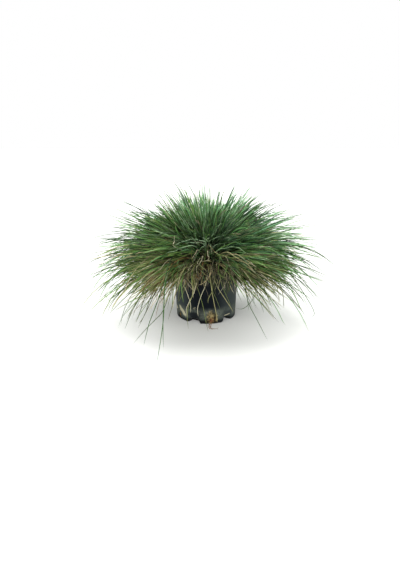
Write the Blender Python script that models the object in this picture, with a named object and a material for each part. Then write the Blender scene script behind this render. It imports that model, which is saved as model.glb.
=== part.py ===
"""A clump of blue fescue in a round nursery pot, in metres, +Z up.

The origin is on the floor under the middle of the pot. An azimuth of 0 faces -Y and grows towards +X.
"""

import math
import random

import bmesh
import bpy
from mathutils import Matrix, Vector

# The pot: a thin shell of black plastic, pressed in one piece. It stands on feet with arches between them.
RIM_RADIUS = 0.0650
POT_HEIGHT = 0.1100
RIM_BAND = 0.0075
RIM_EDGE = 0.0009
WALL_TOP_RADIUS = 0.0628
WALL_FOOT_RADIUS = 0.0578
WALL = 0.0012
POT_COLUMNS = 50
FOOT_COUNT = 5
FRONT_FOOT_AZIMUTH = math.radians(10.5)
FOOT_FACE_OUTER = 0.0540
FOOT_FACE_INNER = 0.0455
FOOT_CHAMFER = 0.0032
FLOOR_RADIUS = 0.0415
FLOOR_RISE = 0.0012
ARCH_RISE = 0.0086
ARCH_DEPTH = 0.0038
ARCH_TOP = 0.0200
ARCH_HALF_ANGLE = math.radians(14.4)
ARCH_FLANK_ANGLE = math.radians(7.2)
SLOT_WIDTH = 0.0095
SLOT_BOTTOM = 0.0036
SLOT_TOP = 0.0150

# The gap between pieces that touch.
GAP = 0.0003

# The root ball: compost and roots that fill the pot to a little under its rim.
SOIL_TOP = 0.0975
SOIL_SHOULDER = 0.0025
SOIL_GAP = 0.0006

# The crown: the dense dome of old leaf bases that every tuft grows from.
CROWN_RADIUS = 0.0460
CROWN_SHOULDER = 0.1080
CROWN_HEIGHT = 0.0260
CROWN_FOOT_RADIUS = 0.0420
CROWN_COLUMNS = 24
CROWN_EDGE_ANGLE = math.radians(75)

# The tufts, ring by ring: name, place between the crown's top (0) and its edge (1), and how many.
SEED = 108
RINGS = (
    ("heart_tuft", 0.00, 1),
    ("inner_tuft", 0.22, 5),
    ("upper_tuft", 0.42, 8),
    ("middle_tuft", 0.62, 11),
    ("outer_tuft", 0.81, 11),
    ("skirt_tuft", 1.00, 11),
)
RING_HALF_WIDTH = 0.070
SECTOR_HALF_SHARE = 0.37
PLACE_JITTER = 0.012
TURN_JITTER = 0.12
SHEATH_RADIUS = 0.0047
SHEATH_HEIGHT = 0.0070
TUFT_LEAVES = 6

# How a leaf starts, how far it has bent over by its tip, and its length, from the crown's top to its edge.
START_TILTS = (3, 24, 46, 66, 79)
BEND_ANGLES = (12, 22, 34, 42, 50)
BEND_POWER = 1.3
LEAF_LENGTHS = (0.100, 0.115, 0.140, 0.170, 0.196)
LENGTH_SPREAD = 0.17

# Leaves are a little longer towards the front and the back than at the sides.
FRONT_BACK_STRETCH = 0.10

# Each leaf of a tuft stands for a lock of real ones. Where its sections are, and how thick they are.
LEAF_STATIONS = (0.26, 0.50, 0.76)
LEAF_RADII = (0.0021, 0.0019, 0.0012)
FACET_BLEND = 0.30
PATH_STEPS = 24

# Two roots that creep out of the front foot's slot onto the floor. Points are outwards, across and up.
ROOTS = (
    ("long_root", 0.00065, (
        (0.0576, 0.0000, 0.0092),
        (0.0591, -0.0004, 0.0084),
        (0.0604, -0.0010, 0.0056),
        (0.0620, -0.0020, 0.0016),
        (0.0670, -0.0040, 0.0009),
        (0.0740, -0.0056, 0.0009),
        (0.0800, -0.0048, 0.0009),
        (0.0826, -0.0004, 0.0009),
        (0.0818, 0.0044, 0.0009),
        (0.0790, 0.0086, 0.0009),
    )),
    ("short_root", 0.00055, (
        (0.0576, -0.0024, 0.0068),
        (0.0591, -0.0026, 0.0060),
        (0.0602, -0.0032, 0.0034),
        (0.0624, -0.0050, 0.0009),
        (0.0700, -0.0084, 0.0008),
        (0.0776, -0.0094, 0.0008),
        (0.0802, -0.0078, 0.0008),
    )),
)

# Base colour and roughness of each material.
MATERIALS = {
    "pot_plastic": ((0.022, 0.027, 0.034), 0.50),
    "compost": ((0.060, 0.040, 0.024), 0.95),
    "leaf_bases": ((0.190, 0.150, 0.080), 0.85),
    "fescue_leaf": ((0.105, 0.190, 0.120), 0.60),
    "old_leaf": ((0.230, 0.220, 0.110), 0.75),
    "root": ((0.170, 0.085, 0.045), 0.85),
}


def clear_scene():
    for obj in list(bpy.data.objects):
        bpy.data.objects.remove(obj)


def material(name):
    made = bpy.data.materials.get(name)
    if made is None:
        colour, roughness = MATERIALS[name]
        made = bpy.data.materials.new(name)
        made.use_nodes = True
        shader = made.node_tree.nodes["Principled BSDF"]
        shader.inputs["Base Color"].default_value = (*colour, 1)
        shader.inputs["Roughness"].default_value = roughness
        shader.inputs["Metallic"].default_value = 0
    return made


def add_object(name, shape, finish, smooth_angle=None):
    """Turns a bmesh into a named object. Faces that meet at less than smooth_angle are shaded smooth."""
    bmesh.ops.recalc_face_normals(shape, faces=shape.faces)
    mesh = bpy.data.meshes.new(name)
    shape.to_mesh(mesh)
    shape.free()
    if smooth_angle is not None:
        mesh.shade_smooth()
        mesh.set_sharp_from_angle(angle=smooth_angle)
    mesh.materials.append(material(finish))
    obj = bpy.data.objects.new(name, mesh)
    bpy.context.scene.collection.objects.link(obj)
    return obj


def around(radius, azimuth, height):
    """A point at a radius, an azimuth from the front and a height."""
    return Vector((radius * math.sin(azimuth), -radius * math.cos(azimuth), height))


def turned(profile, columns):
    """A closed body of revolution, from a profile that starts and ends on the axis."""
    shape = bmesh.new()
    points = [shape.verts.new(around(radius, FRONT_FOOT_AZIMUTH, height)) for radius, height in profile]
    edges = [shape.edges.new(pair) for pair in zip(points, points[1:])]
    bmesh.ops.spin(
        shape, geom=points + edges, cent=(0, 0, 0), axis=(0, 0, 1), angle=2 * math.pi, steps=columns
    )
    bmesh.ops.remove_doubles(shape, verts=shape.verts, dist=1e-6)
    return shape


def wall_radius(height):
    """The outside of the tapered wall at a height."""
    return WALL_FOOT_RADIUS + (WALL_TOP_RADIUS - WALL_FOOT_RADIUS) * height / (POT_HEIGHT - RIM_BAND)


def inner_profile(inset):
    """The inside of the pot's lower part, from the axis to the top of the arches, moved in by an inset."""
    floor = WALL + 2 * inset
    return [
        (0.0, FLOOR_RISE + floor),
        (FLOOR_RADIUS - inset, FLOOR_RISE + floor),
        (FOOT_FACE_INNER + WALL / 2, floor),
        (FOOT_FACE_OUTER - WALL / 2, floor),
        (wall_radius(FOOT_CHAMFER) - WALL - inset, FOOT_CHAMFER + WALL / 3 + inset),
        (wall_radius(ARCH_TOP) - WALL - inset, ARCH_TOP),
    ]


def arch_share(azimuth):
    """0 on a foot, and 1 under the arch between two feet."""
    pitch = 2 * math.pi / FOOT_COUNT
    from_arch = abs((azimuth - FRONT_FOOT_AZIMUTH) % pitch - pitch / 2)
    return min(1.0, max(0.0, (ARCH_HALF_ANGLE - from_arch) / ARCH_FLANK_ANGLE))


def press_arches(shape):
    """Lifts the foot ring between the feet, draws the wall above it in, and cuts the faces into triangles."""
    for vert in shape.verts:
        radius = math.hypot(vert.co.x, vert.co.y)
        if radius < FLOOR_RADIUS + WALL or vert.co.z > ARCH_TOP:
            continue
        azimuth = math.atan2(vert.co.x, -vert.co.y)
        share = arch_share(azimuth) * (1 - vert.co.z / ARCH_TOP)
        drawn_in = ARCH_DEPTH * share * (radius - FOOT_FACE_INNER) / (WALL_FOOT_RADIUS - FOOT_FACE_INNER)
        vert.co = around(radius - drawn_in, azimuth, vert.co.z + ARCH_RISE * share)
    bmesh.ops.triangulate(shape, faces=shape.faces, quad_method="SHORT_EDGE")


def make_slot_cutter():
    """One box for each foot, through the wall just above the pot's floor."""
    depth = 10 * WALL
    shape = bmesh.new()
    for foot in range(FOOT_COUNT):
        azimuth = FRONT_FOOT_AZIMUTH + foot * 2 * math.pi / FOOT_COUNT
        middle = around(WALL_FOOT_RADIUS, azimuth, (SLOT_TOP + SLOT_BOTTOM) / 2)
        size = Matrix.Diagonal((SLOT_WIDTH, depth, SLOT_TOP - SLOT_BOTTOM, 1))
        bmesh.ops.create_cube(
            shape, size=1.0, matrix=Matrix.Translation(middle) @ Matrix.Rotation(azimuth, 4, "Z") @ size
        )
    cutter = add_object("slot_cutter", shape, "pot_plastic")
    cutter.hide_render = True
    cutter.display_type = "WIRE"
    return cutter


def make_pot():
    band_bottom = POT_HEIGHT - RIM_BAND
    mouth_radius = WALL_TOP_RADIUS - WALL
    outside = [
        (0.0, FLOOR_RISE),
        (FLOOR_RADIUS, FLOOR_RISE),
        (FOOT_FACE_INNER, 0.0),
        (FOOT_FACE_OUTER, 0.0),
        (wall_radius(FOOT_CHAMFER), FOOT_CHAMFER),
        (wall_radius(ARCH_TOP), ARCH_TOP),
        (WALL_TOP_RADIUS, band_bottom),
        (RIM_RADIUS, band_bottom + RIM_EDGE),
        (RIM_RADIUS, POT_HEIGHT - RIM_EDGE),
        (RIM_RADIUS - RIM_EDGE, POT_HEIGHT),
    ]
    mouth = [
        (mouth_radius + RIM_EDGE, POT_HEIGHT),
        (mouth_radius, POT_HEIGHT - RIM_EDGE),
        (mouth_radius, band_bottom),
    ]
    shape = turned(outside + mouth + inner_profile(0.0)[::-1], POT_COLUMNS)
    press_arches(shape)
    pot = add_object("nursery_pot", shape, "pot_plastic", math.radians(35))
    cut = pot.modifiers.new("drain_slots", "BOOLEAN")
    cut.operation = "DIFFERENCE"
    cut.object = make_slot_cutter()


def make_root_ball():
    top_radius = wall_radius(SOIL_TOP - SOIL_SHOULDER) - WALL - SOIL_GAP
    profile = inner_profile(SOIL_GAP) + [
        (top_radius, SOIL_TOP - SOIL_SHOULDER),
        (top_radius - SOIL_SHOULDER, SOIL_TOP),
        (0.0, SOIL_TOP),
    ]
    shape = turned(profile, POT_COLUMNS)
    press_arches(shape)
    add_object("root_ball", shape, "compost", math.radians(35))


def crown_point(place):
    """The point on the crown's front and its outward normal, at a place from the top (0) to the edge (1)."""
    angle = place * CROWN_EDGE_ANGLE
    point = around(CROWN_RADIUS * math.sin(angle), 0, CROWN_SHOULDER + CROWN_HEIGHT * math.cos(angle))
    normal = around(math.sin(angle) / CROWN_RADIUS, 0, math.cos(angle) / CROWN_HEIGHT)
    return point, normal.normalized()


def make_crown():
    foot = SOIL_TOP + GAP
    steps = 7
    profile = [(0.0, foot), (CROWN_FOOT_RADIUS, foot)]
    for step in range(steps + 1):
        angle = math.pi / 2 * (1 - step / steps)
        profile.append((CROWN_RADIUS * math.sin(angle), CROWN_SHOULDER + CROWN_HEIGHT * math.cos(angle)))
    add_object("crown", turned(profile, CROWN_COLUMNS), "leaf_bases", math.radians(40))


def between(values, place):
    """Reads evenly spaced values at a place from 0 to 1, and carries their last slope on past 1."""
    spot = place * (len(values) - 1)
    low = min(len(values) - 2, int(spot))
    return values[low] + (values[low + 1] - values[low]) * (spot - low)


def leaf_path(place, turn, azimuth, length_factor):
    """Points along a leaf that arches outwards, in a plane turned a little from its tuft's own."""
    start_tilt = between(START_TILTS, place)
    bend = between(BEND_ANGLES, place)
    stretch = 1 + FRONT_BACK_STRETCH * math.cos(azimuth + turn) ** 2
    step = between(LEAF_LENGTHS, place) * length_factor * stretch / PATH_STEPS
    start, _ = crown_point(place)
    point = Matrix.Rotation(turn, 3, "Z") @ start
    path = [point]
    for number in range(PATH_STEPS):
        along = (number + 0.5) / PATH_STEPS * length_factor
        tilt = math.radians(start_tilt + bend * along ** BEND_POWER)
        point = point + around(math.sin(tilt), turn, math.cos(tilt)) * step
        path.append(point)
    return path


def nearest_order(corners, ring):
    """The corners in the order that lies nearest to a ring's own, each seen from its own middle."""
    corners_middle = sum(corners, Vector()) / len(corners)
    ring_middle = sum(ring, Vector()) / len(ring)

    def distance(order):
        return sum(((a - corners_middle) - (b - ring_middle)).length for a, b in zip(order, ring))

    orders = [corners[k:] + corners[:k] for k in range(len(corners))]
    orders += [order[::-1] for order in orders]
    return min(orders, key=distance)


def grow_leaf(shape, facet, path):
    """Extrudes one facet of the sheath along a path, in ever thinner sections, to a point."""
    from_path = facet.calc_center_median() - path[0]
    for station, radius in zip(LEAF_STATIONS, LEAF_RADII):
        facet = bmesh.ops.extrude_discrete_faces(shape, faces=[facet])["faces"][0]
        low = int(station * PATH_STEPS)
        direction = path[low + 1] - path[low]
        middle = path[low] + from_path * max(0.0, 1 - station / FACET_BLEND)
        turned_to = direction.to_track_quat("Z", "Y")
        corners = [middle + turned_to @ around(radius, corner * 2 * math.pi / 3, 0) for corner in range(3)]
        ring = [vert.co.copy() for vert in facet.verts]
        for vert, corner in zip(facet.verts, nearest_order(corners, ring)):
            vert.co = corner
    tip = bmesh.ops.poke(shape, faces=[facet])["verts"][0]
    tip.co = path[-1]


def make_tuft(name, place, azimuth, half_sector, chance):
    """A bunch of shoots: a sheath that stands on the crown, with a leaf from each facet of its top."""
    foot, normal = crown_point(place)
    across = Vector((1, 0, 0))
    upright = normal.to_track_quat("Z", "X").to_matrix().to_4x4()
    seat = Matrix.Translation(foot + normal * (GAP + SHEATH_HEIGHT / 2)) @ upright
    shape = bmesh.new()
    bmesh.ops.create_cone(
        shape, cap_ends=True, segments=TUFT_LEAVES, radius1=SHEATH_RADIUS, radius2=SHEATH_RADIUS,
        depth=SHEATH_HEIGHT, matrix=seat,
    )
    cap = max(shape.faces, key=lambda face: face.calc_center_median().dot(normal))
    outwards = across.cross(normal)
    for facet in bmesh.ops.poke(shape, faces=[cap])["faces"]:
        offset = facet.calc_center_median() - foot
        angle = math.atan2(offset.dot(across), offset.dot(outwards))
        if place == 0:
            leaf_place, turn = RING_HALF_WIDTH, angle
        else:
            leaf_place = place + RING_HALF_WIDTH * math.cos(angle) + PLACE_JITTER * chance.uniform(-1, 1)
            turn = half_sector * (math.sin(angle) + TURN_JITTER * chance.uniform(-1, 1))
        length_factor = 1 + LENGTH_SPREAD * chance.uniform(-1, 1)
        grow_leaf(shape, facet, leaf_path(leaf_place, turn, azimuth, length_factor))
    finish = "old_leaf" if name.startswith("skirt") else "fescue_leaf"
    tuft = add_object(name, shape, finish)
    tuft.rotation_euler.z = azimuth


def make_tufts():
    chance = random.Random(SEED)
    for ring, (name, place, count) in enumerate(RINGS):
        sector = 2 * math.pi / count
        for number in range(count):
            full_name = name if count == 1 else f"{name}_{number + 1:02d}"
            azimuth = (number + ring % 2 / 2) * sector
            make_tuft(full_name, place, azimuth, sector * SECTOR_HALF_SHARE, chance)


def make_root(name, radius, points):
    """A root as a round curve, laid out along the front foot's azimuth."""
    curve = bpy.data.curves.new(name, "CURVE")
    curve.dimensions = "3D"
    curve.bevel_depth = radius
    curve.bevel_resolution = 0
    curve.use_fill_caps = True
    line = curve.splines.new("POLY")
    line.points.add(len(points) - 1)
    for point, (out, across, height) in zip(line.points, points):
        point.co = (across, -out, height, 1)
    curve.materials.append(material("root"))
    obj = bpy.data.objects.new(name, curve)
    obj.rotation_euler.z = FRONT_FOOT_AZIMUTH
    bpy.context.scene.collection.objects.link(obj)


def main():
    clear_scene()
    make_pot()
    make_root_ball()
    make_crown()
    make_tufts()
    for name, radius, points in ROOTS:
        make_root(name, radius, points)


main()
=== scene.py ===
import math

import bmesh
import bpy
import numpy as np
from mathutils import Matrix, Vector, noise


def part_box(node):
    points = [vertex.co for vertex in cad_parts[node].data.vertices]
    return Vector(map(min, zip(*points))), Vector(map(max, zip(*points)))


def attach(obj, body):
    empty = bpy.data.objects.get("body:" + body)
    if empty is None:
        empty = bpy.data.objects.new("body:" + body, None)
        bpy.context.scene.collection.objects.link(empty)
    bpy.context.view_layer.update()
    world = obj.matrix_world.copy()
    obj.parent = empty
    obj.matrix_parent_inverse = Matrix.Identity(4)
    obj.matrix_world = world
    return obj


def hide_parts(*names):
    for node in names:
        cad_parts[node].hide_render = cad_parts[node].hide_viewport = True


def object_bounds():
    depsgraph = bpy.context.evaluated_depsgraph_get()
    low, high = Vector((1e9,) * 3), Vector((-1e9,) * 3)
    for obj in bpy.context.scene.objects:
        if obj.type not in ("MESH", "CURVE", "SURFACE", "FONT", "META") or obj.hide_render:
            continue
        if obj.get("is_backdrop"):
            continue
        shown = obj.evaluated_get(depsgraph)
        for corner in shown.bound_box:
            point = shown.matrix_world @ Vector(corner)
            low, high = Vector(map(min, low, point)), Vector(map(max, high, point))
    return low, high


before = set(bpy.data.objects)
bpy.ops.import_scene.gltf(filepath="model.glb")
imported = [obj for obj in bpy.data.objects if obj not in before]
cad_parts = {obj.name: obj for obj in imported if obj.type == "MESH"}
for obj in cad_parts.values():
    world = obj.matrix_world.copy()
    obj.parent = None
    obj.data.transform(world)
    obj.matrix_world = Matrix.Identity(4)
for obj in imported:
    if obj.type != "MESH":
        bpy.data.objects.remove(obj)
cad_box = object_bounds()


# Nursery pot: a thin shell of black plastic, drawn from one warm sheet over a mould. It has a thick rim
# band, a wall with a slight taper, and five feet with arches between them, each punched with a drain slot.
# It has stood on wet ground, so its foot is filmed with algae and splashed with soil.

POT_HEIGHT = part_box("nursery_pot")[1][2]
RIM_RADIUS = 0.0650
RIM_BAND = 0.0075
RIM_EDGE = 0.0009
WALL_TOP_RADIUS = 0.0628
WALL_FOOT_RADIUS = 0.0578
WALL = 0.0012
WALL_ROLL = 0.0006
FOOT_COUNT = 5
FRONT_FOOT_AZIMUTH = math.radians(10.5)
FOOT_FACE_OUTER = 0.0540
FOOT_FACE_INNER = 0.0455
FOOT_CHAMFER = 0.0032
POT_FLOOR_RADIUS = 0.0415
POT_FLOOR_RISE = 0.0012
ARCH_RISE = 0.0086
ARCH_DEPTH = 0.0038
ARCH_TOP = 0.0200
ARCH_HALF_ANGLE = math.radians(14.4)
ARCH_FLANK_ANGLE = math.radians(7.2)
SLOT_WIDTH = 0.0095
SLOT_BOTTOM = 0.0036
SLOT_TOP = 0.0150
SLOT_CORNER = 0.0016
SLOT_CUT_DEPTH = 0.0120
POT_COLUMNS = 240
WALL_STEP = 0.0022
WAVE_DEPTH = 0.00035
WAVES_AROUND = 1.6
WAVES_UP = 22
WAVE_FADE = 0.0200


def srgb(red, green, blue):
    """A screen colour from 0 to 255 as the linear colour that a shader takes."""
    parts = (value / 255 for value in (red, green, blue))
    return tuple(part / 12.92 if part <= 0.04045 else ((part + 0.055) / 1.055) ** 2.4 for part in parts)


class Shade:
    """One value on its way through a material's nodes. Arithmetic on it adds Math nodes."""

    def __init__(self, tree, socket=None):
        self.tree = tree
        self.socket = socket

    def node(self, kind, settings, inputs, output=0):
        """Adds a node, sets it up, fills or links its sockets, and gives one of its outputs."""
        made = self.tree.nodes.new(kind)
        for name, value in settings.items():
            if name == "stops":
                ramp = made.color_ramp
                while len(ramp.elements) < len(value):
                    ramp.elements.new(1)
                for element, (position, colour) in zip(ramp.elements, value):
                    element.position = position
                    element.color = (*colour, 1)
            else:
                setattr(made, name, value)
        for name, value in inputs.items():
            if isinstance(value, Shade):
                self.tree.links.new(value.socket, made.inputs[name])
            elif made.inputs[name].type == "RGBA":
                made.inputs[name].default_value = (*value, 1)
            else:
                made.inputs[name].default_value = value
        return Shade(self.tree, made.outputs[output])

    def maths(self, operation, first, second):
        return self.node("ShaderNodeMath", {"operation": operation}, {0: first, 1: second})

    def __add__(self, other):
        return self.maths("ADD", self, other)

    def __sub__(self, other):
        return self.maths("SUBTRACT", self, other)

    def __rsub__(self, other):
        return self.maths("SUBTRACT", other, self)

    def __mul__(self, other):
        return self.maths("MULTIPLY", self, other)

    __radd__ = __add__
    __rmul__ = __mul__

    def ease(self, low, high):
        """0 below low and 1 above high, with a soft step between. Low may be the larger one."""
        ends = {"Value": self, "From Min": low, "From Max": high}
        return self.node("ShaderNodeMapRange", {"interpolation_type": "SMOOTHSTEP"}, ends)

    def attribute(self, name):
        return self.node("ShaderNodeAttribute", {"attribute_name": name}, {}, "Fac")

    def place(self):
        return self.node("ShaderNodeTexCoord", {}, {}, "Object")

    def part(self, axis):
        return self.node("ShaderNodeSeparateXYZ", {}, {"Vector": self}, axis)

    def grain(self, vector, scale, detail=4.0, roughness=0.55):
        """Noise from 0 to 1. Over a place, its scale is in features to a metre."""
        inputs = {"Vector": vector, "Scale": scale, "Detail": detail, "Roughness": roughness}
        return self.node("ShaderNodeTexNoise", {}, inputs, "Fac")

    def layered(self, colour, *layers):
        """A colour with others laid over it, each of them by its share from 0 to 1."""
        for share, over in layers:
            colour = self.node("ShaderNodeMix", {"data_type": "RGBA"}, {0: share, 6: colour, 7: over}, 2)
        return colour


def new_material(name, fixed):
    """A material with its constant sockets set. Gives the material, its shader's node and a first Shade."""
    material = bpy.data.materials.new(name)
    material.use_nodes = True
    shader = material.node_tree.nodes["Principled BSDF"]
    for socket, value in fixed.items():
        shader.inputs[socket].default_value = value
    return material, shader, Shade(material.node_tree)


def drive(shader, sockets):
    """Links varying values to a shader's sockets. One named Bump goes through a Bump node to Normal."""
    for name, value in sockets.items():
        if name == "Bump":
            height, distance = value
            bump = height.node("ShaderNodeBump", {}, {"Height": height, "Distance": distance}, "Normal")
            height.tree.links.new(bump.socket, shader.inputs["Normal"])
        else:
            value.tree.links.new(value.socket, shader.inputs[name])


def around(radius, azimuth, height):
    """Points at a radius, an azimuth from the front and a height, as rows of x, y and z."""
    radius, azimuth, height = np.broadcast_arrays(radius, azimuth, height)
    return np.stack((radius * np.sin(azimuth), -radius * np.cos(azimuth), height), axis=-1)


def from_front_of(turn):
    """How far an azimuth is from the front, from -pi on the left to pi."""
    return (turn + math.pi) % (2 * math.pi) - math.pi


def hump(value, middle, half_width, power=2):
    """1 at the middle value, fading to both sides of it. A higher power gives it a flatter top."""
    return np.exp(-((value - middle) / half_width) ** power)


def ramp(value, start, end):
    """0 before the start value and 1 past the end value, with an even slope between them."""
    return np.clip((value - start) / (end - start), 0, 1)


def rounded(corners, reach, steps=4, most=0.45):
    """An outline with its inner corners turned into short curves, which start and end a reach away."""
    outline = [Vector(corners[0])]
    for before, corner, after in zip(corners, corners[1:], corners[2:]):
        before, corner, after = Vector(before), Vector(corner), Vector(after)
        start = corner + (before - corner) * min(most, reach / (before - corner).length)
        end = corner + (after - corner) * min(most, reach / (after - corner).length)
        for step in range(steps + 1):
            share = step / steps
            outline.append(start.lerp(corner, share).lerp(corner.lerp(end, share), share))
    outline.append(Vector(corners[-1]))
    return outline


def spaced(outline, step):
    """An outline with points added where two are more than a step apart."""
    result = [outline[0]]
    for start, end in zip(outline, outline[1:]):
        pieces = max(1, math.ceil((end - start).length / step))
        result += [start.lerp(end, number / pieces) for number in range(1, pieces + 1)]
    return result


def turned(name, outline, columns, moved):
    """A closed body of revolution from an outline that starts and ends on the axis.

    Each ring's radii, azimuths and heights go through moved, which gives them back shaped.
    """
    azimuths = np.arange(columns) * 2 * math.pi / columns
    rings = [around(*moved(np.full(columns, point[0]), azimuths, np.full(columns, point[1])))
             for point in outline[1:-1]]
    verts = [(0, 0, outline[0][1])] + np.concatenate(rings).tolist() + [(0, 0, outline[-1][1])]
    last = len(verts) - 1
    faces = []
    for column in range(columns):
        following = (column + 1) % columns
        faces.append((0, 1 + following, 1 + column))
        for ring in range(len(rings) - 1):
            low, high = 1 + ring * columns, 1 + (ring + 1) * columns
            faces.append((low + column, low + following, high + following, high + column))
        faces.append((last, last - columns + column, last - columns + following))
    mesh = bpy.data.meshes.new(name)
    mesh.from_pydata(verts, [], faces)
    return mesh


def placed(name, data):
    """A new object in the scene, for a mesh, a lamp or a camera."""
    made = bpy.data.objects.new(name, data)
    bpy.context.scene.collection.objects.link(made)
    return made


def add_piece(name, mesh, material, slot, *nodes):
    """Puts a mesh in the scene in place of its CAD nodes."""
    mesh.materials.clear()
    mesh.materials.append(material)
    piece = placed(name, mesh)
    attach(piece, "root")
    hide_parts(*nodes)


def wall_radius(height):
    return WALL_FOOT_RADIUS + (WALL_TOP_RADIUS - WALL_FOOT_RADIUS) * height / (POT_HEIGHT - RIM_BAND)


def pressed(radius, azimuth, height):
    """Lifts the foot ring between the feet into arches, and draws the wall above them in."""
    pitch = 2 * math.pi / FOOT_COUNT
    from_arch = abs((azimuth - FRONT_FOOT_AZIMUTH) % pitch - pitch / 2)
    arch = ramp(from_arch, ARCH_HALF_ANGLE, ARCH_HALF_ANGLE - ARCH_FLANK_ANGLE)
    on_ring = ramp(radius, POT_FLOOR_RADIUS, FOOT_FACE_INNER)
    share = arch * arch * (3 - 2 * arch) * ramp(height, ARCH_TOP, 0) * on_ring
    drawn_in = ARCH_DEPTH * share * (radius - FOOT_FACE_INNER) / (WALL_FOOT_RADIUS - FOOT_FACE_INNER)
    return radius - np.maximum(drawn_in, 0), azimuth, height + ARCH_RISE * share


def slack_wall(radius, azimuth, height):
    """The pressed pot, with the slight waves that a thin warm wall keeps when it is pulled off the mould."""
    wave = np.array([
        noise.noise((WAVES_AROUND * math.sin(turn), WAVES_AROUND * math.cos(turn), WAVES_UP * rise))
        for turn, rise in zip(azimuth, height)
    ])
    free = ramp(height, ARCH_TOP, ARCH_TOP + WAVE_FADE)
    return pressed(radius + WAVE_DEPTH * wave * free, azimuth, height)


def inner_corners(inset):
    """The inside of the pot's lower part from its middle outwards, moved in by an inset."""
    floor = WALL + 2 * inset
    return [
        (0.0, POT_FLOOR_RISE + floor),
        (POT_FLOOR_RADIUS - inset, POT_FLOOR_RISE + floor),
        (FOOT_FACE_INNER + WALL / 2, floor),
        (FOOT_FACE_OUTER - WALL / 2, floor),
        (wall_radius(FOOT_CHAMFER) - WALL - inset, FOOT_CHAMFER + WALL / 3 + inset),
        (wall_radius(ARCH_TOP) - WALL - inset, ARCH_TOP),
    ]


def punch_slots(pot):
    """Cuts the drain slots, with round corners, and gives the cut mesh."""
    shape = bmesh.new()
    for foot in range(FOOT_COUNT):
        azimuth = FRONT_FOOT_AZIMUTH + foot * 2 * math.pi / FOOT_COUNT
        middle = Vector(around(WALL_FOOT_RADIUS, azimuth, (SLOT_TOP + SLOT_BOTTOM) / 2))
        size = Matrix.Diagonal((SLOT_WIDTH, SLOT_CUT_DEPTH, SLOT_TOP - SLOT_BOTTOM, 1))
        block = set(bmesh.ops.create_cube(shape, size=1.0, matrix=size)["verts"])
        through = [edge for edge in shape.edges
                   if edge.verts[0] in block and abs(edge.verts[0].co.y - edge.verts[1].co.y) > WALL]
        cut = bmesh.ops.bevel(
            shape, geom=through, offset=SLOT_CORNER, segments=4, profile=0.5, affect="EDGES"
        )
        own = {vert for face in cut["faces"] for vert in face.verts}
        turned_out = Matrix.Translation(middle) @ Matrix.Rotation(azimuth, 4, "Z")
        bmesh.ops.transform(shape, verts=list(own), matrix=turned_out)
    mesh = bpy.data.meshes.new("slot_cutter")
    shape.to_mesh(mesh)
    shape.free()
    cutter = placed("slot_cutter", mesh)
    cut = pot.modifiers.new("drain_slots", "BOOLEAN")
    cut.operation = "DIFFERENCE"
    cut.object = cutter
    evaluated = pot.evaluated_get(bpy.context.evaluated_depsgraph_get())
    result = bpy.data.meshes.new_from_object(evaluated)
    pot.modifiers.remove(cut)
    bpy.data.objects.remove(cutter)
    return result


def shade_round(mesh, sharp_angle=40):
    mesh.shade_smooth()
    mesh.set_sharp_from_angle(angle=math.radians(sharp_angle))


def add_values(mesh, name, values):
    """Stores one number for each point of a mesh, for the material to read."""
    mesh.attributes.new(name, "FLOAT", "POINT").data.foreach_set("value", np.asarray(values, np.float32))


def mesh_points(mesh):
    points = np.empty(len(mesh.vertices) * 3, np.float32)
    mesh.vertices.foreach_get("co", points)
    return points.reshape(-1, 3)


band_bottom = POT_HEIGHT - RIM_BAND
mouth_radius = WALL_TOP_RADIUS - WALL
pot_corners = [
    (0.0, POT_FLOOR_RISE),
    (POT_FLOOR_RADIUS, POT_FLOOR_RISE),
    (FOOT_FACE_INNER, 0.0),
    (FOOT_FACE_OUTER, 0.0),
    (wall_radius(FOOT_CHAMFER), FOOT_CHAMFER),
    (wall_radius(ARCH_TOP), ARCH_TOP),
    (WALL_TOP_RADIUS, band_bottom),
    (RIM_RADIUS, band_bottom + RIM_EDGE),
    (RIM_RADIUS, POT_HEIGHT),
    (mouth_radius, POT_HEIGHT),
    (mouth_radius, band_bottom),
] + inner_corners(0.0)[::-1]
pot_mesh = turned("pot", spaced(rounded(pot_corners, WALL_ROLL), WALL_STEP), POT_COLUMNS, slack_wall)
blank = placed("pot_blank", pot_mesh)
pot_mesh = punch_slots(blank)
bpy.data.objects.remove(blank)
shade_round(pot_mesh)

# Soil has stuck around each slot, most at the front foot. Beside each slot a dark streak is painted as the
# shadow of its opening. Shade is painted into the arches, and the wall has dust and a painted sheen on its
# sides but not on its front. For each mark at the slots: how far to the right of the slot it is, and its
# half width and half height.
SLOT_STAINS = (("slot_stain", 0.0005, 0.0125, 0.0180), ("streak", 0.0062, 0.0018, 0.0085))
STAIN_HEIGHT = 0.0125
OTHER_FEET_SHARE = 0.45

# It also lies pale on the shoulders of the feet at the front left and right, and thinly over the arch at
# the front foot's left. For each place: azimuth and half angle in degrees, height, fall to the right for
# each radian, half height, and strength.
LEDGES = (
    (-51, 11, 0.0205, 0.0390, 0.0050, 1.3),
    (-22, 8, 0.0320, 0.0000, 0.0050, 0.5),
    (-74, 6, 0.0215, 0.0000, 0.0045, 0.9),
    (45, 11, 0.0140, 0.0000, 0.0016, 1.0),
)
# The arches, where shade is painted: their half angle, and the height where it fades out. Film lies below a
# top and fades out towards the foot's edge, where painted shade lies below a height.
RECESS_HALF_ANGLE = math.radians(12)
RECESS_TOP = 0.0260
RECESS_FADE = 0.0040
FILM_TOP = (0.0430, 0.0290)
FILM_FOOT = (0.0050, 0.0140)
PAINTED_FOOT_SHADE = (0.0105, 0.0050)
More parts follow.
